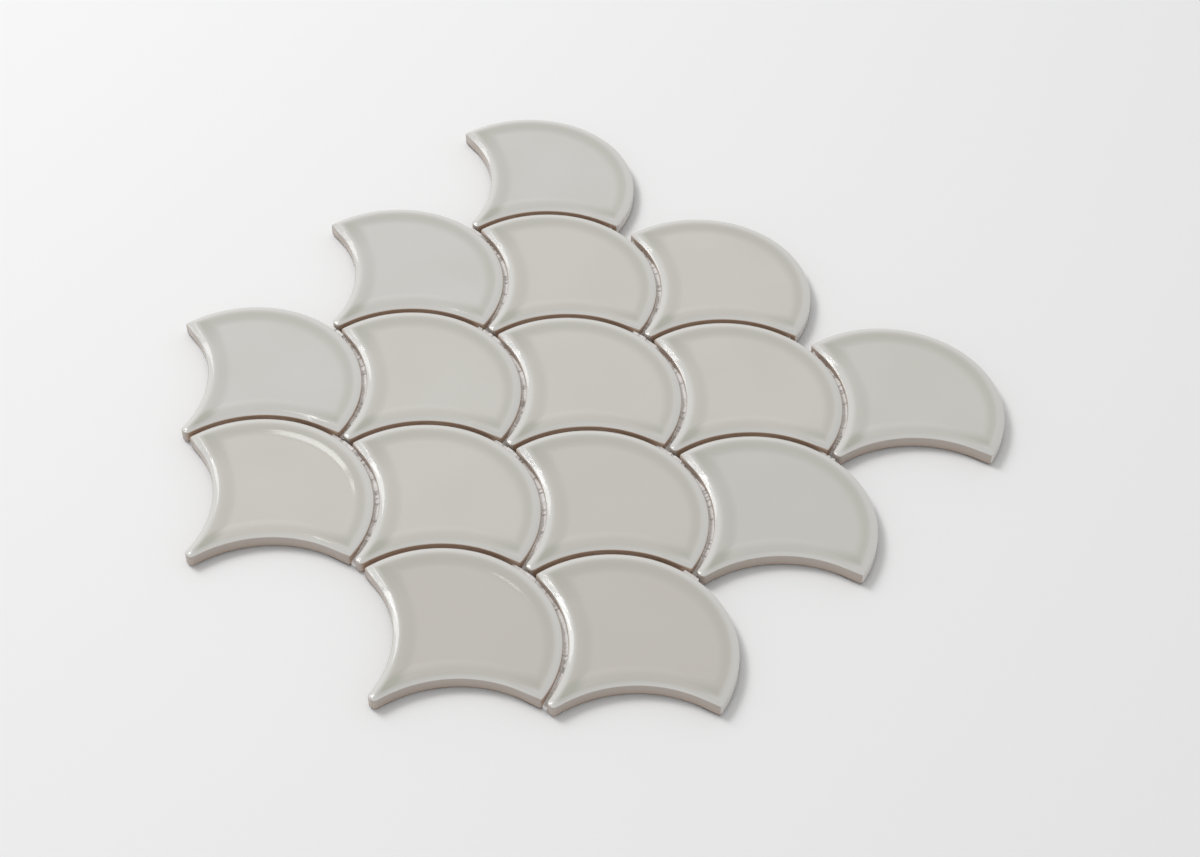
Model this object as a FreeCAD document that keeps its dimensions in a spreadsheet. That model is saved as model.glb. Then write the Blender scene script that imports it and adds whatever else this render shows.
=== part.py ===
"""Fish scale mosaic sheet: glazed ceramic scales in six offset rows, glued to one backing net.

The sheet lies face up on the XY plane. X runs along the rows, Y points from the tip of a scale to
the top of its dome, and the origin is under the middle of the sheet, on the face that is bedded.
"""

import FreeCAD
import Part

import enum
import math
import os

import Sketcher

# Driving dimensions, in millimetres
DIMENSIONS = {
    "dome_radius": 42.0,  # round upper edge of a scale
    "joint_width": 1.7,  # grout joint between a dome and the hollow sides above it
    "neck_width": 2.6,  # between the two hollow sides of a scale, level with their centres
    "row_pitch": 37.4,  # from row to row
    "tip_gap": 2.2,  # from the blunt tip of a scale to the dome two rows below
    "tile_thickness": 5.6,
    "rim_width": 2.4,  # from the side wall to the crest of the raised rim
    "rim_fall": 0.8,  # from the crest down to the top of the side wall
    "slope_width": 4.4,  # from the crest to the flat floor of the dished face
    "dish_depth": 0.55,  # from the crest down to the floor
    "net_thickness": 0.4,
    "net_margin": 2.5,  # from the edge of the scales back to the trimmed edge of the net
}

# Places of the scales: columns are counted in half pitches from the middle, rows from the bottom
WIDE_ROW = (-2, 0, 2)
NARROW_ROW = (-1, 1)
ROWS = {
    1: NARROW_ROW,
    2: WIDE_ROW,
    3: NARROW_ROW,
    4: WIDE_ROW,
    5: NARROW_ROW,
    6: WIDE_ROW,
}
MIDDLE_ROW = 3.5

# Scales whose domes the hollow sides of a scale go round: one half pitch aside and one row down
SIDES = {"right": 1, "left": -1}
ROW_BELOW = -1

# Outline of the net, clockwise from the top: each place is the centre of one arc of it
NET_OUTLINE = (
    (0, 6), (1, 5), (2, 6), (3, 5), (2, 4), (3, 3), (2, 2), (3, 1), (2, 0),
    (0, 0), (-2, 0), (-3, 1), (-2, 2), (-3, 3), (-2, 4), (-3, 5), (-2, 6), (-1, 5),
)

SHEET = "dims"
ORIGIN = (-1, 1)  # the sketch's own origin as (geometry, point)
UPRIGHT_AXIS = -2  # the sketch's own Y axis


class At(enum.IntEnum):
    """Points of an arc in a sketch."""

    START = 1
    END = 2
    CENTRE = 3


def cell(alias):
    """How an expression names a cell of the sheet."""
    return f"{SHEET}.{alias}"


# Sizes that follow from the driving dimensions
DOME = cell("dome_radius")
HOLLOW = f"({DOME} + {cell('joint_width')})"
HALF_PITCH = f"({HOLLOW} + {cell('neck_width')} / 2)"
ROW_PITCH = cell("row_pitch")
TIP_REACH = f"(2 * {ROW_PITCH} - {DOME} - {cell('tip_gap')})"
SHEET_SHIFT = f"(({TIP_REACH} - {DOME}) / 2)"  # brings the middle of the sheet over the origin
WALL_TOP = f"({cell('tile_thickness')} - {cell('rim_fall')})"
DISH_FLOOR = f"({cell('tile_thickness')} - {cell('dish_depth')})"
CREST_INSET = cell("rim_width")
FLOOR_INSET = f"({CREST_INSET} + {cell('slope_width')})"


def aside(column):
    """X of a column, as an expression."""
    return f"{column} * {HALF_PITCH}"


def up(row):
    """Y of a row, as an expression."""
    return f"{row} * {ROW_PITCH}"


def make_sheet(doc):
    """Spreadsheet with one aliased cell for each driving dimension."""
    sheet = doc.addObject("Spreadsheet::Sheet", SHEET)
    for line, (alias, size) in enumerate(DIMENSIONS.items(), start=1):
        sheet.set(f"A{line}", alias)
        sheet.set(f"B{line}", str(size))
        sheet.setAlias(f"B{line}", alias)
    doc.recompute()


def put(item, x, y, z):
    """Places an object by three expressions."""
    for axis, expression in zip("xyz", (x, y, z)):
        item.setExpression(f".Placement.Base.{axis}", expression)


def make_cone(doc, name, foot, head, rise, column, row, lift):
    """Upright cone round a place of the lattice, from its foot's radius to its head's."""
    cone = doc.addObject("Part::Cone", name)
    cone.setExpression("Radius1", foot)
    cone.setExpression("Radius2", head)
    cone.setExpression("Height", rise)
    put(cone, aside(column), up(row), lift)
    return cone


def make_plate(doc, name, wall, crest, column, row):
    """Round plate: a side wall, and above it the fall between the crest of the rim and the wall."""
    side = doc.addObject("Part::Cylinder", f"{name}_wall")
    side.setExpression("Radius", wall)
    side.setExpression("Height", WALL_TOP)
    put(side, aside(column), up(row), "0")
    plate = doc.addObject("Part::Fuse", name)
    plate.Base = side
    plate.Tool = make_cone(doc, f"{name}_fall", wall, crest, cell("rim_fall"), column, row, WALL_TOP)
    return plate


def make_tip_end(doc, name):
    """Block that cuts the tip of a scale off straight."""
    block = doc.addObject("Part::Box", name)
    block.setExpression("Length", f"2 * {HALF_PITCH}")
    block.setExpression("Width", DOME)
    block.setExpression("Height", cell("tile_thickness"))
    put(block, f"-{HALF_PITCH}", f"-{TIP_REACH} - {DOME}", "0")
    return block


def make_cut(doc, name, base, tool):
    """What is left of one object when another is cut away."""
    cut = doc.addObject("Part::Cut", name)
    cut.Base = base
    cut.Tool = tool
    return cut


def make_dish(doc, label):
    """Hollow of a scale's face: slopes parallel to its edges, mitred where they meet, and a flat floor."""
    depth = cell("dish_depth")
    floor, crest = f"{DOME} - {FLOOR_INSET}", f"{DOME} - {CREST_INSET}"
    dish = make_cone(doc, f"{label}_dome_slope", floor, crest, depth, 0, 0, DISH_FLOOR)
    floor, crest = f"{HOLLOW} + {FLOOR_INSET}", f"{HOLLOW} + {CREST_INSET}"
    for side, column in SIDES.items():
        slope = make_cone(doc, f"{label}_{side}_slope", floor, crest, depth, column, ROW_BELOW, DISH_FLOOR)
        dish = make_cut(doc, f"{label}_dish_{side}", dish, slope)
    return dish


def make_tile(doc, label, column, row):
    """Pressed and glazed scale: flat back, raised rim that falls to the side wall, shallow dished face.

    Its hollow sides are round the centres of the two scales below, so the joint keeps its width.
    """
    tile = make_plate(doc, f"{label}_dome", DOME, f"{DOME} - {CREST_INSET}", 0, 0)
    crest = f"{HOLLOW} + {CREST_INSET}"
    for side, side_column in SIDES.items():
        hollow = make_plate(doc, f"{label}_{side}_hollow", HOLLOW, crest, side_column, ROW_BELOW)
        tile = make_cut(doc, f"{label}_{side}_cut", tile, hollow)
    tile = make_cut(doc, f"{label}_blunt", tile, make_tip_end(doc, f"{label}_tip_end"))
    tile = make_cut(doc, label, tile, make_dish(doc, label))
    put(tile, aside(column), f"{up(row - MIDDLE_ROW)} + {SHEET_SHIFT}", cell("net_thickness"))
    return tile


def number(item, expression):
    """What an expression comes to."""
    return float(item.evalExpression(expression))


def circles_meet(centre_a, radius_a, centre_b, radius_b):
    """Upper one of the two points where two circles cross."""
    across = centre_b - centre_a
    gap = across.Length
    along = (gap**2 + radius_a**2 - radius_b**2) / (2 * gap)
    sideways = math.sqrt(radius_a**2 - along**2)
    forward = across / gap
    normal = FreeCAD.Vector(-forward.y, forward.x, 0)
    points = [centre_a + forward * along + normal * sideways * turn for turn in (1, -1)]
    return max(points, key=lambda point: point.y)


def direction(centre, point):
    """Angle of a point seen from a centre, from minus half a turn to half a turn."""
    return math.atan2(point.y - centre.y, point.x - centre.x)


def bind(sketch, expression, kind, *args):
    """Constraint whose size follows an expression on the sheet."""
    index = sketch.addConstraint(Sketcher.Constraint(kind, *args, number(sketch, expression)))
    sketch.setExpression(f"Constraints[{index}]", expression)


def pin_centre(sketch, arc, column, row):
    """Holds the centre of an arc at a place of the lattice."""
    if column > 0:
        bind(sketch, aside(column), "DistanceX", *ORIGIN, arc, At.CENTRE)
    elif column < 0:
        bind(sketch, aside(-column), "DistanceX", arc, At.CENTRE, *ORIGIN)
    else:
        sketch.addConstraint(Sketcher.Constraint("PointOnObject", arc, At.CENTRE, UPRIGHT_AXIS))
    if row > MIDDLE_ROW:
        bind(sketch, up(row - MIDDLE_ROW), "DistanceY", *ORIGIN, arc, At.CENTRE)
    else:
        bind(sketch, up(MIDDLE_ROW - row), "DistanceY", arc, At.CENTRE, *ORIGIN)


def draw_net(sketch):
    """Trimmed edge of the net.

    Each arc of it is the upper side of a circle round a place of the lattice: inside the dome where
    a scale is there, and clear of the dome where the next sheet's scale would be.
    """
    circles = []
    for column, row in NET_OUTLINE:
        radius = f"{HOLLOW} + {cell('net_margin')}"
        if column in ROWS.get(row, ()):
            radius = f"{DOME} - {cell('net_margin')}"
        x = number(sketch, aside(column))
        y = number(sketch, up(row - MIDDLE_ROW))
        circles.append((FreeCAD.Vector(x, y, 0), number(sketch, radius), radius))

    corners = []
    for (centre, radius, _), (next_centre, next_radius, _) in zip(circles, circles[1:] + circles[:1]):
        corners.append(circles_meet(centre, radius, next_centre, next_radius))

    arcs = []
    for place, (centre, radius, expression) in enumerate(circles):
        before = direction(centre, corners[place - 1])
        after = direction(centre, corners[place])
        circle = Part.Circle(centre, FreeCAD.Vector(0, 0, 1), radius)
        arc = sketch.addGeometry(Part.ArcOfCircle(circle, min(before, after), max(before, after)), False)
        bind(sketch, expression, "Radius", arc)
        pin_centre(sketch, arc, *NET_OUTLINE[place])
        enters, leaves = (At.START, At.END) if before < after else (At.END, At.START)
        arcs.append((arc, enters, leaves))
    for (arc, _, leaves), (next_arc, enters, _) in zip(arcs, arcs[1:] + arcs[:1]):
        sketch.addConstraint(Sketcher.Constraint("Coincident", arc, leaves, next_arc, enters))


def make_net(doc, label):
    """Backing net, trimmed back from the edge of the scales so that the next sheet fits against it."""
    body = doc.addObject("PartDesign::Body", label)
    outline = body.newObject("Sketcher::SketchObject", f"{label}_outline")
    plane = next(item for item in body.Origin.OriginFeatures if item.Role == "XY_Plane")
    outline.AttachmentSupport = [(plane, "")]
    outline.MapMode = "FlatFace"
    draw_net(outline)
    net = body.newObject("PartDesign::Pad", f"{label}_sheet")
    net.Profile = outline
    net.setExpression("Length", cell("net_thickness"))
    put(body, "0", SHEET_SHIFT, "0")
    return body


def check(doc, pieces):
    """Stops the build if an object failed or a piece is not one sound solid."""
    for item in doc.Objects:
        if {"Invalid", "Error"} & set(item.State):
            raise RuntimeError(f"{item.Label} failed: {item.State}")
    for piece in pieces:
        shape = piece.Shape
        if shape.isNull() or not shape.isValid() or len(shape.Solids) != 1:
            raise RuntimeError(f"{piece.Label} is not one sound solid")


def main():
    doc = FreeCAD.newDocument("fish_scale_sheet")
    make_sheet(doc)
    pieces = [make_net(doc, "backing_net")]
    for row, columns in ROWS.items():
        for place_in_row, column in enumerate(columns, start=1):
            pieces.append(make_tile(doc, f"tile_row{row}_{place_in_row}", column, row))
    doc.recompute()
    check(doc, pieces)
    os.makedirs("parts", exist_ok=True)
    for piece in pieces:
        piece.Shape.exportStep(f"parts/{piece.Label}.step")


main()
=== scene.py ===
"""Looks of a fish scale mosaic sheet: glazed ceramic scales with dished faces on a woven backing net.

Sizes are in millimetres where no comment says otherwise. A scale is drawn round the centre of its
dome, with its tip towards -Y and its back at height 0, and is then put in its place on the net.
"""

import math

import bpy
import numpy as np
from mathutils import Matrix, Vector


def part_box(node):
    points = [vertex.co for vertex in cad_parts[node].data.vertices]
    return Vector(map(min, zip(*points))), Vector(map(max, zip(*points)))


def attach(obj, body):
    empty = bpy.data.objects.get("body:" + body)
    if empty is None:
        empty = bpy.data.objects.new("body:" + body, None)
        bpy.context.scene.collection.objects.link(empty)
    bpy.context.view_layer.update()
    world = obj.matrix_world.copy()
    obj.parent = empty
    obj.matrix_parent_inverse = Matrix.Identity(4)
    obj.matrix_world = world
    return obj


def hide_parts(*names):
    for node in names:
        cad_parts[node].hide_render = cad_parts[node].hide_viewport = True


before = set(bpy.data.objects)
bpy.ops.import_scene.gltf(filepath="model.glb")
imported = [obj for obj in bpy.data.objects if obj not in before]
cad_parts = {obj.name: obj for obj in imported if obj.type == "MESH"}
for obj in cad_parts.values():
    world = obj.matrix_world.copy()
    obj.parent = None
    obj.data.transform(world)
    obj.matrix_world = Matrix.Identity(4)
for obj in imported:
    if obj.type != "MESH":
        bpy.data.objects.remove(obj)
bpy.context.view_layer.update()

MM = 0.001

# Sizes of the solids, which the looks follow
SOLID_DOME_RADIUS = 42.0  # round upper edge of a scale
SOLID_JOINT = 1.7  # between a dome and the hollow sides above it
NECK_WIDTH = 2.6  # between the two hollow sides of a scale, level with their centres
ROW_PITCH = 37.4  # from row to row
TIP_GAP = 2.2  # from the blunt tip of a scale to the dome two rows below
TILE_THICKNESS = 5.6
NET_THICKNESS = 0.4
NET_MARGIN = 2.5  # from the joint with the next sheet back to the trimmed edge of the net

# Outline of a scale
EASE = 0.06  # by which a joint is wider than in the solids, on each side
DOME_RADIUS = SOLID_DOME_RADIUS - EASE
JOINT = SOLID_JOINT + 2 * EASE
HOLLOW_RADIUS = DOME_RADIUS + JOINT
HALF_PITCH = SOLID_DOME_RADIUS + SOLID_JOINT + NECK_WIDTH / 2
TIP_REACH = 2 * ROW_PITCH - SOLID_DOME_RADIUS - TIP_GAP - EASE
CORNER_ROUND = 1.3
MIDDLE = (0.0, -2.0)  # where the rings of the face close

# Edges of a scale, in the order in which their distances are kept
DOME, RIGHT, LEFT, TIP = range(4)

# Section of a scale, inwards from its side wall
BACK_BEVEL_WIDTH = 0.7
BACK_BEVEL_HEIGHT = 0.6
EDGE_ROUND = 0.25  # radius between the side wall and the rim
EDGE_TURN = 60.0  # degrees of that rounding, up to where the rim goes on
RIM_WIDTH = 2.5  # from the side wall to the crest
RIM_FALL = 0.8  # from the crest down to the side wall
RIM_BEND = 1.4  # 1 would be a straight bevel, and more is rounder
CREST = 2.3  # where the dish starts
DISH_FOOT = 8.4  # where the dish reaches its full depth
DISH_DEPTH = 0.52
DEEPER_DISH = {"tile_row1_1": 0.66, "tile_row1_2": 0.56}
DISH_SKEW = 1.6  # above 1, the dish falls late, towards its foot
DISH_CORNER = 2.4  # rounding of the dish's corners

# Unevenness of the faces, as lengths of waves and their height
CREST_WAVES = (61, 47, 34)
CREST_WANDER = 0.25
FACE_WAVES = (52, 39, 27)
FACE_UNEVEN = 0.015
FACE_TILT = 0.0025  # steepest slope at which a face leans
FIRST_TILE_SEED = 11

# How finely a scale is meshed
OUTLINE_STEP = 0.62
SEARCH_RAYS = 7200  # tried round the middle, to space the points of the outline evenly
SEARCH_REACH = 1.2 * DOME_RADIUS  # longer than any ray from the middle to the outline
SEARCH_HALVINGS = 40
WALL_RINGS = 4
EDGE_RINGS = 5
RIM_RINGS = 9
SLOPE_RINGS = 17
SLOPE_PAST_FOOT = 1.0
FIELD_RINGS = 8

# Scales whose glaze is cooler, from 0 to 1, and the rest are warm
COOL_SCALES = {
    "tile_row2_1": 1.0,
    "tile_row3_1": 0.2,
    "tile_row4_1": 1.0,
    "tile_row4_3": 0.9,
    "tile_row6_1": 1.0,
    "tile_row6_3": 0.4,
}

# Scales whose glaze is painted a little darker, from 0 to 1: painted shade where less of the lamps' light
# falls on them
SHADED_SCALES = {"tile_row1_2": 0.7, "tile_row2_3": 0.7, "tile_row3_2": 0.3, "tile_row4_3": 0.3}

# Glaze, in bands in from the edges of a scale, with painted shade in the dish
SHADE_BAND_SHIFT = 1.1  # by which the bands, with their painted shade, lie nearer to the right hollow side, whose slopes face the camera
POOL_RISE = (1.6, 4.4)  # where pooled glaze and painted shade set in
POOL_FADE = (4.8, 9.0)  # where they fade out to the open face
# how dark the band is along each edge: strongest along the dome, where painted shade stands for the darker
# surroundings mirrored in the slope of the dish
POOL_AND_SHADE_AT_EDGE = {DOME: 0.52, RIGHT: 0.3, LEFT: 0.24, TIP: 0.3}
POOL_ABOVE_TIP = 0.6  # more of both between the two hollow sides: painted shade in that recessed corner
RIM_TINT = (1.5, 3.2)  # where the rim's tint gives way to the open face
WALL_END = (0.1, 0.35)  # where the wall's colour gives way to the glaze of the face
RAGGED_EDGE = 0.12

# Bands up the side wall of a scale, from its back
BACK_PALE = (0.0, 0.35)
# painted shadow: a dark line at the foot of the wall, for the shade in the gap under the scale's edge
FOOT_SHADOW = (0.6, 0.95)
FOOT_BARE = (0.6, 1.2)
# painted shade: the wall turns browner towards its foot, up to the share below
FOOT_BROWN_SHADE = (0.5, 3.0)
FOOT_SHADE_SHARE = 0.6

# Joints of a scale: its edge, the side and the row of the next scale, and how much painted shade browns its
# wall there, less on the left hollow side, which the lamps light
JOINTS = ((DOME, 1, 1, 1.0), (DOME, -1, 1, 1.0), (RIGHT, 1, -1, 1.0), (LEFT, -1, -1, 0.5))

# Places round a scale where the lattice has others, in half pitches aside and rows up
AROUND = ((1, 1), (-1, 1), (1, -1), (-1, -1), (2, 0), (-2, 0), (0, 2), (0, -2))

# Threads of the backing net
THREAD_PITCH = 3.2
THREAD_WIDTH = 0.8
THREAD_HEIGHT = 0.2
THREAD_SECTION = ((-1, 0), (0, 1), (1, 0), (0, -1))  # aside and up, in half widths and half heights
SHORTEST_THREAD = 2  # in half pitches
NET_REACH = 2.6  # how far the net goes on past a scale, into its joints
X_AXIS, Y_AXIS = range(2)

# Glue squeezed up from the net into the joints, with places along a joint in degrees round its dome
GLUE_HEIGHT = {1: 3.6, -1: 2.0}  # to the right of a dome and to its left
GLUE_STEP = 0.3
GLUE_FOOT = 0.15
GLUE_LEAST = 0.45
GLUE_SECTION = ((-0.98, 0.45), (-0.6, 0.08), (0.0, -0.1), (0.6, 0.08), (0.98, 0.45))  # half joints and lift
GLUE_SPAN = (10.0, 83.0)
GLUE_TIP_SPAN = (10.0, 90.4)
GLUE_LOW_END = (10.0, 22.0)  # where it comes up from its low end
GLUE_HIGH_END = (56.0, 72.0)  # where it sinks again
GLUE_SINK = 1.6
GLUE_TIP_RISE = (79.0, 83.0)  # where it rises under the tip of the scale above
GLUE_TIP_HEIGHT = 3.5
GLUE_WAVES = (17, 9, 6.3)
GLUE_LUMPS = 0.6
GLUE_GRAIN = 0.12
GLUE_PIT_SHARE = 0.07
GLUE_PIT_DEPTH = 0.8
GLUE_SEED = 5

# Fine texture: noise, with its scale per metre, and the levels of it between which a look changes
CLOUDS = {"scale": 40, "detail": 1, "roughness": 0.4}
CLOUD_LEVELS = (0.3, 0.75)
CLOUD_SHARE = 0.45
RAGS = {"scale": 160, "detail": 3, "roughness": 0.55}
STREAKS = {"scale": 160, "detail": 3, "roughness": 0.5}
STREAK_LEVELS = (0.3, 0.7)
RIPPLE = {"scale": 420, "detail": 2, "roughness": 0.5}
STRANDS = {"scale": 1500, "detail": 3, "roughness": 0.6}
STRAND_LEVELS = (0.35, 0.65)
SPECK_SCALE = 16.0  # cells per metre, with one speck in each
SPECK_RADIUS = 0.008  # in cells
SPECK_HEIGHT = 6.0  # in heights of the ripple

# Gloss and relief
GLAZE_ROUGHNESS = (0.06, 0.1)
WALL_ROUGHER = 0.1
GLAZE_IOR = 1.52
NET_ROUGHNESS = 0.55
BUMP_DEPTH = 0.2
GLAZE_BUMP = 0.06  # how strongly that depth shows, from 0 to 1
NET_BUMP = 0.5

# Studio: lamps that face the sheet, as direction, width in metres and watts, and the light from all round
LAMPS = {
    "high_lamp": ((-0.49, -0.16, 0.857), 0.52, 6.3),
    "soft_box": ((-0.52, 0.0, 0.854), 0.58, 5.4),
    "side_panel": ((-0.645, -0.08, 0.76), 0.5, 4.5),
    "low_panel": ((-0.755, 0.035, 0.655), 0.5, 2.9),
}
LAMP_DISTANCE = 2.0  # in metres
WALL_LIGHT = 0.853
CEILING_LIGHT = 0.49
WALL_TO_CEILING = (0.15, 0.75)  # upward parts of the directions where the wall ends and the ceiling starts
FLOOR_REACH = 30000.0
FLOOR_ROUGHNESS = 0.9
FLOOR_SHEEN = 0.1

# Camera that took the view, with angles in degrees
CAMERA_PLACE = (406.4, -422.5, 628.25)
CAMERA_AZIMUTH = 41.84
CAMERA_ELEVATION = 47.02
CAMERA_ROLL = 0.49
CAMERA_LENS = 70.97
CAMERA_SENSOR = 36.0


def srgb(red, green, blue):
    """Linear colour of a colour written in 0 to 255."""
    values = [channel / 255 for channel in (red, green, blue)]
    return tuple(v / 12.92 if v <= 0.04045 else ((v + 0.055) / 1.055) ** 2.4 for v in values) + (1.0,)


# Colours of the object, the floor and the light
GLAZE_FIELD = srgb(206, 203, 196)
GLAZE_COOL = srgb(206, 205, 201)
# darker glaze in the dish: pooled glaze and painted shade
GLAZE_POOL_AND_SHADE = srgb(178, 177, 167)
# painted shade on the scales that get less light
GLAZE_SHADED = srgb(193, 189, 181)
GLAZE_RIM = srgb(211, 210, 206)
GLAZE_CLOUD = srgb(199, 196, 188)
WALL_TAUPE = srgb(178, 168, 159)
# pale back of a scale, and painted light on the dome walls that face no other scale
PALE_BACK_AND_LIT_WALL = srgb(216, 212, 207)
# painted shade: walls browner in the joints and low down
WALL_BROWN_SHADE = srgb(176, 152, 133)
# painted shadow along the foot of the wall
WALL_FOOT_SHADOW = srgb(92, 80, 70)
NET_WHITE = srgb(242, 241, 240)
NET_GREY = srgb(222, 219, 216)
FLOOR_PALE = srgb(241, 241, 241)
LIGHT_WHITE = srgb(255, 255, 255)


def edge_distances(x, y):
    """Distances in from the dome, the two hollow sides and the cut end of the tip."""
    dome = DOME_RADIUS - np.hypot(x, y)
    right = np.hypot(x - HALF_PITCH, y + ROW_PITCH) - HOLLOW_RADIUS
    left = np.hypot(x + HALF_PITCH, y + ROW_PITCH) - HOLLOW_RADIUS
    tip = y + TIP_REACH
    return np.stack([dome, right, left, tip])


def inset(x, y, corner):
    """Distance in from the outline, whose corners are rounded."""
    distances = edge_distances(x, y)
    over = np.sqrt((np.maximum(corner - distances, 0) ** 2).sum(axis=0))
    return np.where(over > 0, corner - over, distances.min(axis=0))


def rise(value, low, high):
    """Smooth step from 0 at the low value to 1 at the high one."""
    share = np.clip((value - low) / (high - low), 0, 1)
    return share * share * (3 - 2 * share)


def waves(random, x, y, lengths, height):
    """Gentle uneven surface made of a few waves."""
    total = np.zeros_like(x)
    for length in lengths:
        angle = random.uniform(0, math.pi)
        phase = random.uniform(0, 2 * math.pi)
        total += np.cos((x * math.cos(angle) + y * math.sin(angle)) * 2 * math.pi / length + phase)
    return total * height / len(lengths)


def along_rays(rays, reach):
    """Points on rays from the middle of a scale."""
    return MIDDLE[0] + rays[:, 0] * reach, MIDDLE[1] + rays[:, 1] * reach


def ray_reach(rays, depth):
    """How far each ray from the middle of a scale runs before it is only depth in from the outline."""
    near = np.zeros(len(rays))
    far = np.full(len(rays), SEARCH_REACH)
    for _ in range(SEARCH_HALVINGS):
        half = (near + far) / 2
        inside = inset(*along_rays(rays, half), CORNER_ROUND) > depth
        near = np.where(inside, half, near)
        far = np.where(inside, far, half)
    return near


def outline_rays():
    """Rays to points that are evenly spaced along the outline."""
    turn = np.linspace(0, 2 * math.pi, SEARCH_RAYS, endpoint=False)
    rays = np.stack([np.cos(turn), np.sin(turn)], axis=1)
    points = rays * ray_reach(rays, 0)[:, None]
    steps = np.linalg.norm(np.roll(points, -1, axis=0) - points, axis=1)
    along = np.concatenate([[0], np.cumsum(steps)])
    count = int(along[-1] / OUTLINE_STEP)
    wanted = np.linspace(0, along[-1], count, endpoint=False)
    angles = np.interp(wanted, along, np.append(turn, 2 * math.pi))
    return np.stack([np.cos(angles), np.sin(angles)], axis=1)


def rim_height(depth):
    """Height of the rim, which falls away in a blunt bevel from its crest to the side wall."""
    return TILE_THICKNESS - RIM_FALL * max(1 - depth / RIM_WIDTH, 0) ** RIM_BEND


def scale_section():
    """Depths in from the outline and heights, from the back over the edge to the foot of the dish."""
    turns = np.radians(np.linspace(0, EDGE_TURN, EDGE_RINGS))
    edge_depths = EDGE_ROUND * (1 - np.cos(turns))
    edge_heights = EDGE_ROUND * np.sin(turns)
    edge_heights += rim_height(edge_depths[-1]) - edge_heights[-1]
    wall_heights = np.linspace(BACK_BEVEL_HEIGHT, edge_heights[0], WALL_RINGS, endpoint=False)
    rim_depths = np.linspace(edge_depths[-1], RIM_WIDTH, RIM_RINGS)[1:]
    slope_depths = np.linspace(RIM_WIDTH, DISH_FOOT + SLOPE_PAST_FOOT, SLOPE_RINGS)[1:]
    section = [(BACK_BEVEL_WIDTH, 0.0)]
    section += [(0.0, height) for height in wall_heights]
    section += list(zip(edge_depths, edge_heights))
    section += [(depth, rim_height(depth)) for depth in rim_depths]
    section += [(depth, TILE_THICKNESS) for depth in slope_depths]
    return section


def plain_scale():
    """Rings of points from the back of a scale over its edge to the middle of its face, before it is dished.

    A point has its x, its y, its height and its depth in from the outline.
    """
    rays = outline_rays()
    rings = []
    for depth, height in scale_section():
        x, y = along_rays(rays, ray_reach(rays, depth))
        rings.append(np.stack([x, y, np.full(len(x), height), np.full(len(x), depth)], axis=1))
    last = rings[-1]
    for share in np.linspace(1, 0, FIELD_RINGS + 1)[1:-1]:
        ring = last.copy()
        ring[:, :2] = MIDDLE + (last[:, :2] - MIDDLE) * share
        ring[:, 3] = inset(ring[:, 0], ring[:, 1], CORNER_ROUND)
        rings.append(ring)
    return np.stack(rings)


def dished_scale(plain, random, dish_depth):
    """Points of a scale with its dish, a slight tilt and a slightly uneven glaze, on the face only."""
    points = plain.copy()
    x, y = points[..., 0], points[..., 1]
    wander = waves(random, x, y, CREST_WAVES, CREST_WANDER)
    share = np.clip((inset(x, y, DISH_CORNER) - CREST - wander) / (DISH_FOOT - CREST), 0, 1)
    drop = rise(share**DISH_SKEW, 0, 1) * dish_depth
    tilt = random.uniform(-FACE_TILT, FACE_TILT, 2)
    uneven = waves(random, x, y, FACE_WAVES, FACE_UNEVEN) + tilt[0] * x + tilt[1] * y
    points[..., 2] += (uneven - drop) * rise(points[..., 3], 0, RIM_WIDTH)
    return points


def glaze_distances(x, y):
    """Distances in from the edges, drawn out at the right hollow side so that the bands of rim tint and
    painted shade lie nearer to its edge.
    """
    distances = edge_distances(x, y)
    distances[RIGHT] += SHADE_BAND_SHIFT
    return distances


def pool_and_shade(x, y):
    """How much darker the glaze is painted, from 0 on the open face to 1 in the corners of the dish: partly
    pooled glaze, partly painted shade.
    """
    distances = glaze_distances(x, y)
    beside = rise(distances, *POOL_RISE) * (1 - rise(distances, *POOL_FADE))
    darkening = sum(share * beside[edge] for edge, share in POOL_AND_SHADE_AT_EDGE.items())
    return np.clip(darkening + POOL_ABOVE_TIP * beside[RIGHT] * beside[LEFT], 0, 1)


def scale_centre(node):
    """Centre of the dome of a CAD scale."""
    low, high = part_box(node)
    return (low.x + high.x) / 2 / MM, high.y / MM - SOLID_DOME_RADIUS


def lattice_place(centre, columns, rows):
    """Place that lies some half pitches aside from the centre of a scale, and some rows up."""
    return centre[0] + columns * HALF_PITCH, centre[1] + rows * ROW_PITCH


def is_scale(place, centres):
    """Whether a scale of the sheet has its centre at a place of the lattice."""
    return any(math.dist(place, centre) < JOINT for centre in centres)


def next_places(centres):
    """Places round the sheet where the scales of the next sheets would lie."""
    places = set()
    for centre in centres:
        for columns, rows in AROUND:
            place = lattice_place(centre, columns, rows)
            if not is_scale(place, centres):
                places.add((round(place[0], 3), round(place[1], 3)))
    return sorted(places)


def joint_shade(x, y, centre, centres):
    """How much painted shade browns the wall of a scale, from 0 to 1, where it faces the next scale across a
    joint.
    """
    nearest = edge_distances(x, y).argmin(axis=0)
    share = np.zeros(len(x))
    for edge, side, row, brown_shade in JOINTS:
        if is_scale(lattice_place(centre, side, row), centres):
            share[(nearest == edge) & (x * side > 0)] = brown_shade
    return share


def open_dome(x, y, centre, centres):
    """Which points of a scale are at a part of its dome that faces no other scale."""
    nearest = edge_distances(x, y).argmin(axis=0)
    faces_none = np.zeros(len(x), bool)
    for side in (1, -1):
        if not is_scale(lattice_place(centre, side, 1), centres):
            faces_none |= (nearest == DOME) & (x * side > 0)
    return faces_none


def new_mesh(name, vertices, faces, smooth=True):
    """Mesh with its vertices given in millimetres."""
    mesh = bpy.data.meshes.new(name)
    mesh.from_pydata((np.array(vertices) * MM).tolist(), [], faces)
    mesh.polygons.foreach_set("use_smooth", np.full(len(faces), smooth))
    mesh.update()
    return mesh


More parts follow.
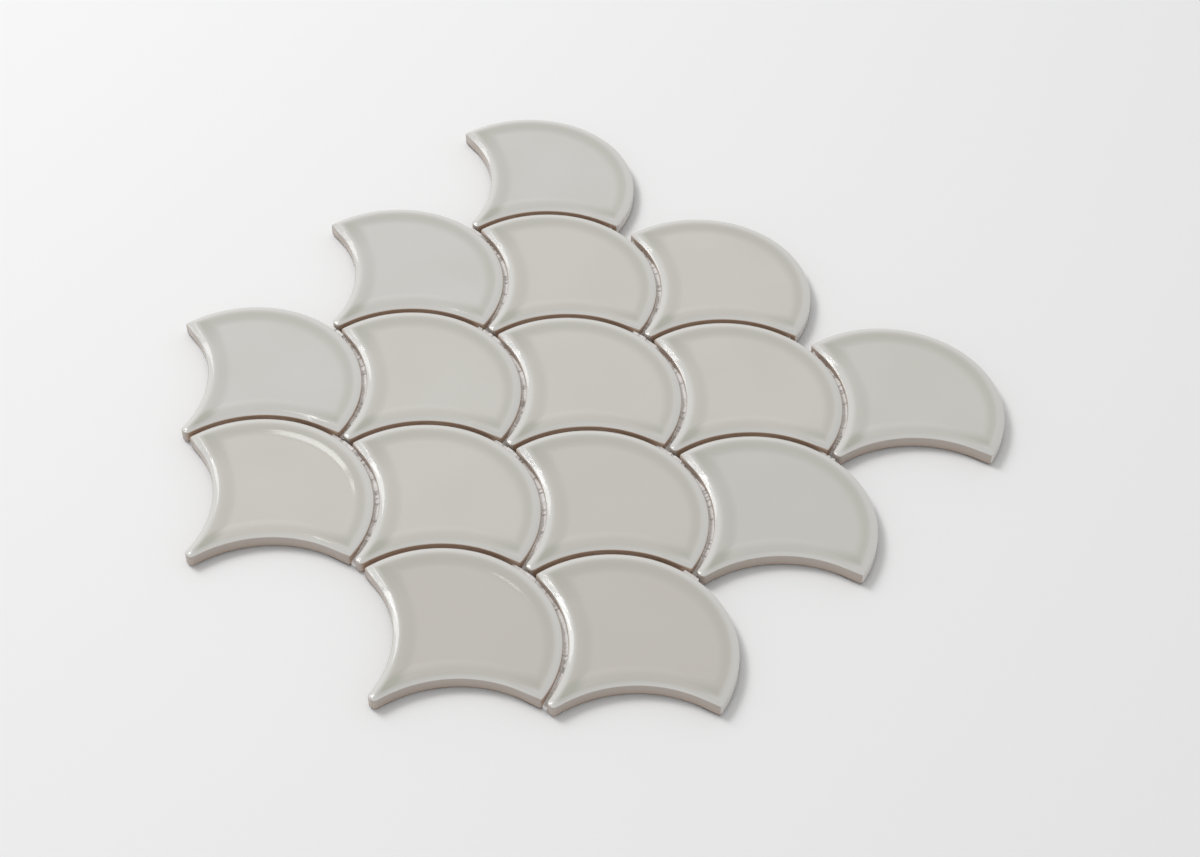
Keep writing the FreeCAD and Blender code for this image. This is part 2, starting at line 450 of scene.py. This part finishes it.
def ring_faces(first, rings, count):
    """Faces between rings of count vertices that follow each other, from the vertex numbered first."""
    faces = []
    for ring in range(rings - 1):
        here = first + ring * count
        for place in range(count):
            after = (place + 1) % count
            faces.append((here + place, here + after, here + count + after, here + count + place))
    return faces


def add_tube(vertices, faces, rings, flip):
    """Adds a tube through rings of corners, closed at both ends, and turns its faces over if flip is set."""
    count = rings.shape[1]
    first = len(vertices)
    vertices.extend(rings.reshape(-1, 3).tolist())
    tube = ring_faces(first, len(rings), count)
    tube.append(tuple(reversed(range(first, first + count))))
    tube.append(tuple(range(len(vertices) - count, len(vertices))))
    faces.extend(face[::-1] if flip else face for face in tube)


def store(mesh, name, values):
    """Keeps one number for each vertex, for a material to read."""
    attribute = mesh.attributes.new(name, "FLOAT", "POINT")
    attribute.data.foreach_set("value", np.asarray(values, np.float32))


def scale_mesh(name, node, points, centre, centres):
    """Closed mesh of one scale, with what its material needs to know kept at each vertex."""
    rings, count = points.shape[:2]
    hub = rings * count
    hub_point = (*MIDDLE, points[-1, :, 2].mean(), points[..., 3].max())
    x, y, height, depth = np.vstack([points.reshape(hub, -1), hub_point]).T
    faces = ring_faces(0, rings, count)
    last = hub - count
    faces += [(last + place, last + (place + 1) % count, hub) for place in range(count)]
    faces.append(tuple(reversed(range(count))))
    mesh = new_mesh(name, np.stack([x, y, height], axis=1), faces)
    flat_back = mesh.polygons[len(faces) - 1]
    flat_back.use_smooth = False
    store(mesh, "inset_mm", np.maximum(depth, 0))
    store(mesh, "height_mm", height)
    store(mesh, "pool_and_shade", pool_and_shade(x, y))
    store(mesh, "rim_mm", glaze_distances(x, y).min(axis=0))
    store(mesh, "joint_shade", joint_shade(x, y, centre, centres))
    store(mesh, "open_dome", open_dome(x, y, centre, centres))
    store(mesh, "cool", np.full(len(x), COOL_SCALES.get(node, 0.0)))
    store(mesh, "scale_shade", np.full(len(x), SHADED_SCALES.get(node, 0.0)))
    return mesh


def in_net(x, y, centres, beyond):
    """Which points lie on the net: under the scales and their joints, and back from the next sheets."""
    covered = np.zeros_like(x, bool)
    for centre_x, centre_y in centres:
        covered |= inset(x - centre_x, y - centre_y, CORNER_ROUND) > -NET_REACH
    for centre_x, centre_y in beyond:
        covered &= inset(x - centre_x, y - centre_y, CORNER_ROUND) < -JOINT - NET_MARGIN
    return covered


def thread_rings(points, along, across, number, start):
    """Corners of one flat thread, which passes over and under those that it crosses."""
    sway = np.cos((points[:, along] - start[along]) * math.pi / THREAD_PITCH + number * math.pi)
    over = 1 if along == X_AXIS else -1
    middle = NET_THICKNESS / 2 + over * sway * (NET_THICKNESS - THREAD_HEIGHT) / 2
    rings = np.zeros((len(points), len(THREAD_SECTION), 3))
    for corner, (aside, up) in enumerate(THREAD_SECTION):
        rings[:, corner, :2] = points
        rings[:, corner, across] += aside * THREAD_WIDTH / 2
        rings[:, corner, 2] = middle + up * THREAD_HEIGHT / 2
    return rings


def net_mesh(name, centres):
    """Woven net: threads along X and Y that end where the net is trimmed."""
    beyond = next_places(centres)
    low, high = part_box("backing_net")
    start = np.array([low.x, low.y]) / MM
    end = np.array([high.x, high.y]) / MM
    vertices = []
    faces = []
    for along, across in ((X_AXIS, Y_AXIS), (Y_AXIS, X_AXIS)):
        lines = np.arange(start[across] + THREAD_PITCH / 2, end[across], THREAD_PITCH)
        runs = np.arange(start[along], end[along], THREAD_PITCH / 2)
        for number, line in enumerate(lines):
            points = np.zeros((len(runs), 2))
            points[:, along] = runs
            points[:, across] = line
            inside = in_net(points[:, 0], points[:, 1], centres, beyond)
            ends = np.flatnonzero(np.diff(np.concatenate([[0], inside.astype(int), [0]])))
            for first, last in ends.reshape(-1, 2):
                if last - first > SHORTEST_THREAD:
                    rings = thread_rings(points[first:last], along, across, number, start)
                    add_tube(vertices, faces, rings, flip=along == X_AXIS)
    return new_mesh(name, vertices, faces)


def bead_rings(random, centre, side, span):
    """Corners of one bead of glue, in the joint between a dome and the hollow side of the scale above it."""
    middle = DOME_RADIUS + JOINT / 2
    first, last = np.radians(span)
    bearings = np.arange(first, last, GLUE_STEP / middle)
    run = bearings * middle
    lumps = waves(random, run, run * 0, GLUE_WAVES, GLUE_LUMPS)
    lumps += random.uniform(-GLUE_GRAIN, GLUE_GRAIN, len(run))
    pits = random.random(len(run)) < GLUE_PIT_SHARE
    lumps -= GLUE_PIT_DEPTH * (pits | np.roll(pits, 1))
    degrees = np.degrees(bearings)
    under_tip = rise(degrees, *GLUE_TIP_RISE)
    sink = rise(degrees, *GLUE_HIGH_END) + 1 - rise(degrees, *GLUE_LOW_END)
    top = (GLUE_HEIGHT[side] - GLUE_SINK * sink) * (1 - under_tip) + GLUE_TIP_HEIGHT * under_tip
    section = []
    for aside, lift in GLUE_SECTION:
        section.append((aside, np.maximum(top + lift + lumps * (1 - abs(aside) / 2), GLUE_LEAST)))
    for aside, _ in (GLUE_SECTION[-1], GLUE_SECTION[0]):
        section.append((aside, np.full(len(run), GLUE_FOOT)))
    rings = np.zeros((len(run), len(section), 3))
    for corner, (aside, heights) in enumerate(section):
        radius = middle + aside * JOINT / 2
        rings[:, corner, 0] = centre[0] + side * radius * np.cos(bearings)
        rings[:, corner, 1] = centre[1] + radius * np.sin(bearings)
        rings[:, corner, 2] = heights
    return rings


def glue_mesh(name, centres):
    """Beads of glue that fill the foot of each joint, from the net up between the scales."""
    random = np.random.default_rng(GLUE_SEED)
    vertices = []
    faces = []
    for centre in centres:
        below_tip = is_scale(lattice_place(centre, 0, 2), centres)
        span = GLUE_TIP_SPAN if below_tip else GLUE_SPAN
        for side in (1, -1):
            if is_scale(lattice_place(centre, side, 1), centres):
                add_tube(vertices, faces, bead_rings(random, centre, side, span), flip=side == -1)
    return new_mesh(name, vertices, faces, smooth=False)


class Nodes:
    """Short way to build the node tree of a material or of the world, up to its main node."""

    # Sockets of a mix node that hold its two colours and the mixed one
    FIRST_COLOUR = 6
    SECOND_COLOUR = 7
    MIXED_COLOUR = 2

    def __init__(self, owner, main):
        owner.use_nodes = True
        self.tree = owner.node_tree
        self.main = self.tree.nodes[main]

    def set(self, node, key, value):
        """Gives an input a constant value, or links it to a socket."""
        if isinstance(value, bpy.types.NodeSocket):
            self.tree.links.new(value, node.inputs[key])
        else:
            node.inputs[key].default_value = value

    def give(self, key, value):
        """Sets an input of the main node."""
        self.set(self.main, key, value)

    def add(self, kind, inputs=None, **settings):
        """Adds a node with its settings and inputs."""
        node = self.tree.nodes.new(kind)
        for key, value in settings.items():
            setattr(node, key, value)
        for key, value in (inputs or {}).items():
            self.set(node, key, value)
        return node

    def attribute(self, name):
        """Number that a mesh keeps at each vertex."""
        return self.add("ShaderNodeAttribute", attribute_name=name).outputs["Fac"]

    def place(self):
        """Place on the object, in metres."""
        return self.add("ShaderNodeTexCoord").outputs["Object"]

    def math(self, operation, *values):
        """Result of an operation on values."""
        return self.add("ShaderNodeMath", dict(enumerate(values)), operation=operation).outputs[0]

    def spread(self, value, low, high, to_low=0.0, to_high=1.0):
        """Straight step between two values, clamped beyond them."""
        ranges = {"Value": value, "From Min": low, "From Max": high, "To Min": to_low, "To Max": to_high}
        return self.add("ShaderNodeMapRange", ranges).outputs["Result"]

    def fade(self, value, low, high):
        """Straight step from 1 at the low value to 0 at the high one."""
        return self.spread(value, low, high, 1.0, 0.0)

    def noise(self, place, scale, detail, roughness):
        """Cloudy noise from 0 to 1."""
        inputs = {"Vector": place, "Scale": scale, "Detail": detail, "Roughness": roughness}
        return self.add("ShaderNodeTexNoise", inputs).outputs["Fac"]

    def mix(self, factor, first, second):
        """Colour between two colours."""
        inputs = {"Factor": factor, self.FIRST_COLOUR: first, self.SECOND_COLOUR: second}
        return self.add("ShaderNodeMix", inputs, data_type="RGBA").outputs[self.MIXED_COLOUR]

    def bump(self, height, strength):
        """Normal of a surface with a fine relief."""
        inputs = {"Strength": strength, "Distance": BUMP_DEPTH * MM, "Height": height}
        return self.add("ShaderNodeBump", inputs).outputs["Normal"]


def glaze_material():
    """Glossy glaze, pale on the rim, darker inside it where it pools and where shade is painted, and thin on
    the taupe side walls, which carry painted shade in the joints and at the foot and painted light where the
    dome faces no other scale.
    """
    material = bpy.data.materials.new("glazed_scale")
    nodes = Nodes(material, "Principled BSDF")
    place = nodes.place()
    height = nodes.attribute("height_mm")

    # Face
    clouds = nodes.spread(nodes.noise(place, **CLOUDS), *CLOUD_LEVELS)
    field = nodes.mix(nodes.attribute("cool"), GLAZE_FIELD, GLAZE_COOL)
    # Painted shade on the scales that get less light
    field = nodes.mix(nodes.attribute("scale_shade"), field, GLAZE_SHADED)
    field = nodes.mix(nodes.math("MULTIPLY", clouds, CLOUD_SHARE), field, GLAZE_CLOUD)
    # Pooled glaze and painted shade inside the rim
    pooled_and_shaded = nodes.mix(nodes.attribute("pool_and_shade"), field, GLAZE_POOL_AND_SHADE)
    face = nodes.mix(nodes.spread(nodes.attribute("rim_mm"), *RIM_TINT), GLAZE_RIM, pooled_and_shaded)

    # Side wall and back
    # Painted shade: the wall browner low down and in the joints
    brown_shade = nodes.spread(height, *FOOT_BROWN_SHADE, FOOT_SHADE_SHARE, 0.0)
    wall = nodes.mix(nodes.math("MAXIMUM", brown_shade, nodes.attribute("joint_shade")), WALL_TAUPE, WALL_BROWN_SHADE)
    # Painted light: dome walls that face no other scale are paler, as if lit by the bright floor
    wall = nodes.mix(nodes.attribute("open_dome"), wall, PALE_BACK_AND_LIT_WALL)
    # Painted shadow: a dark line along the foot of the wall
    wall = nodes.mix(nodes.fade(height, *FOOT_SHADOW), wall, WALL_FOOT_SHADOW)
    wall = nodes.mix(nodes.fade(height, *BACK_PALE), wall, PALE_BACK_AND_LIT_WALL)

    # Border between them, which is a little ragged
    ragged = nodes.math("MULTIPLY", nodes.noise(place, **RAGS), RAGGED_EDGE)
    edge = nodes.fade(nodes.math("ADD", nodes.attribute("inset_mm"), ragged), *WALL_END)
    bare = nodes.math("MAXIMUM", edge, nodes.fade(height, *FOOT_BARE))
    nodes.give("Base Color", nodes.mix(bare, face, wall))

    # Gloss, and a fine ripple with a few specks
    gloss = nodes.spread(nodes.noise(place, **STREAKS), *STREAK_LEVELS, *GLAZE_ROUGHNESS)
    nodes.give("Roughness", nodes.math("ADD", gloss, nodes.math("MULTIPLY", bare, WALL_ROUGHER)))
    nodes.give("IOR", GLAZE_IOR)
    cells = nodes.add("ShaderNodeTexVoronoi", {"Vector": place, "Scale": SPECK_SCALE}).outputs["Distance"]
    specks = nodes.spread(cells, 0.0, SPECK_RADIUS, SPECK_HEIGHT, 0.0)
    relief = nodes.math("ADD", nodes.noise(place, **RIPPLE), specks)
    nodes.give("Normal", nodes.bump(relief, GLAZE_BUMP))
    return material


def net_material():
    """White glass fibre threads, stiff with glue."""
    material = bpy.data.materials.new("net_thread")
    nodes = Nodes(material, "Principled BSDF")
    strands = nodes.noise(nodes.place(), **STRANDS)
    nodes.give("Base Color", nodes.mix(nodes.spread(strands, *STRAND_LEVELS), NET_GREY, NET_WHITE))
    nodes.give("Roughness", NET_ROUGHNESS)
    nodes.give("Normal", nodes.bump(strands, NET_BUMP))
    return material


def floor_material():
    """Plain matt floor."""
    material = bpy.data.materials.new("pale_floor")
    nodes = Nodes(material, "Principled BSDF")
    nodes.give("Base Color", FLOOR_PALE)
    nodes.give("Roughness", FLOOR_ROUGHNESS)
    nodes.give("Specular IOR Level", FLOOR_SHEEN)
    return material


def add_object(name, data):
    """Puts a mesh, a lamp or a camera in the scene."""
    thing = bpy.data.objects.new(name, data)
    bpy.context.scene.collection.objects.link(thing)
    return thing


def add_piece(name, mesh, material, slot, *nodes):
    """Puts a mesh in the scene as a piece of the part, in place of CAD nodes."""
    piece = add_object(name, mesh)
    mesh.materials.append(material)
    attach(piece, "root")
    if nodes:
        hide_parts(*nodes)


def make_pieces():
    """Dresses each CAD scale and the net, and adds the glue in the joints."""
    tiles = sorted(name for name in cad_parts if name.startswith("tile_"))
    centres = [scale_centre(node) for node in tiles]
    glaze = glaze_material()
    plain = plain_scale()
    for number, (node, centre) in enumerate(zip(tiles, centres)):
        random = np.random.default_rng(FIRST_TILE_SEED + number)
        points = dished_scale(plain, random, DEEPER_DISH.get(node, DISH_DEPTH))
        mesh = scale_mesh(f"{node}_glazed", node, points, centre, centres)
        mesh.transform(Matrix.Translation(Vector((*centre, NET_THICKNESS)) * MM))
        add_piece(f"{node}_glazed", mesh, glaze, "glaze", node)
    net = net_material()
    add_piece("woven_net", net_mesh("woven_net", centres), net, "net", "backing_net")
    add_piece("joint_glue", glue_mesh("joint_glue", centres), net, "net")


def make_floor():
    """One large pale face under the sheet."""
    corners = [(x * FLOOR_REACH, y * FLOOR_REACH, 0) for x, y in ((-1, -1), (1, -1), (1, 1), (-1, 1))]
    mesh = new_mesh("floor", corners, [(0, 1, 2, 3)], smooth=False)
    mesh.materials.append(floor_material())
    floor = add_object("floor", mesh)


def make_lamp(name, towards, width, power):
    """Square soft box that faces the middle of the sheet."""
    data = bpy.data.lights.new(name, "AREA")
    data.shape = "SQUARE"
    data.size = width
    data.energy = power
    lamp = add_object(name, data)
    direction = Vector(towards).normalized()
    lamp.location = direction * LAMP_DISTANCE
    lamp.rotation_euler = direction.to_track_quat("Z", "Y").to_euler()


def make_light():
    """Soft white studio: bright walls low down, a dimmer ceiling and soft lamps from the left."""
    world = bpy.data.worlds.new("studio")
    bpy.context.scene.world = world
    nodes = Nodes(world, "Background")
    direction = nodes.add("ShaderNodeTexCoord").outputs["Generated"]
    upward = nodes.add("ShaderNodeSeparateXYZ", {"Vector": direction}).outputs["Z"]
    nodes.give("Color", LIGHT_WHITE)
    nodes.give("Strength", nodes.spread(upward, *WALL_TO_CEILING, WALL_LIGHT, CEILING_LIGHT))
    for name, (towards, width, power) in LAMPS.items():
        make_lamp(name, towards, width, power)


def make_camera():
    """Camera at the place from which the view was taken."""
    data = bpy.data.cameras.new("camera")
    data.lens = CAMERA_LENS
    data.sensor_width = CAMERA_SENSOR
    data.sensor_fit = "HORIZONTAL"
    camera = add_object("camera", data)
    turn = Matrix.Rotation(math.radians(CAMERA_AZIMUTH), 4, "Z")
    tilt = Matrix.Rotation(math.radians(90 - CAMERA_ELEVATION), 4, "X")
    roll = Matrix.Rotation(math.radians(CAMERA_ROLL), 4, "Z")
    camera.matrix_world = Matrix.Translation(Vector(CAMERA_PLACE) * MM) @ turn @ tilt @ roll
    bpy.context.scene.camera = camera


make_pieces()
make_floor()
make_light()
make_camera()
bpy.context.scene.view_settings.view_transform = "Standard"
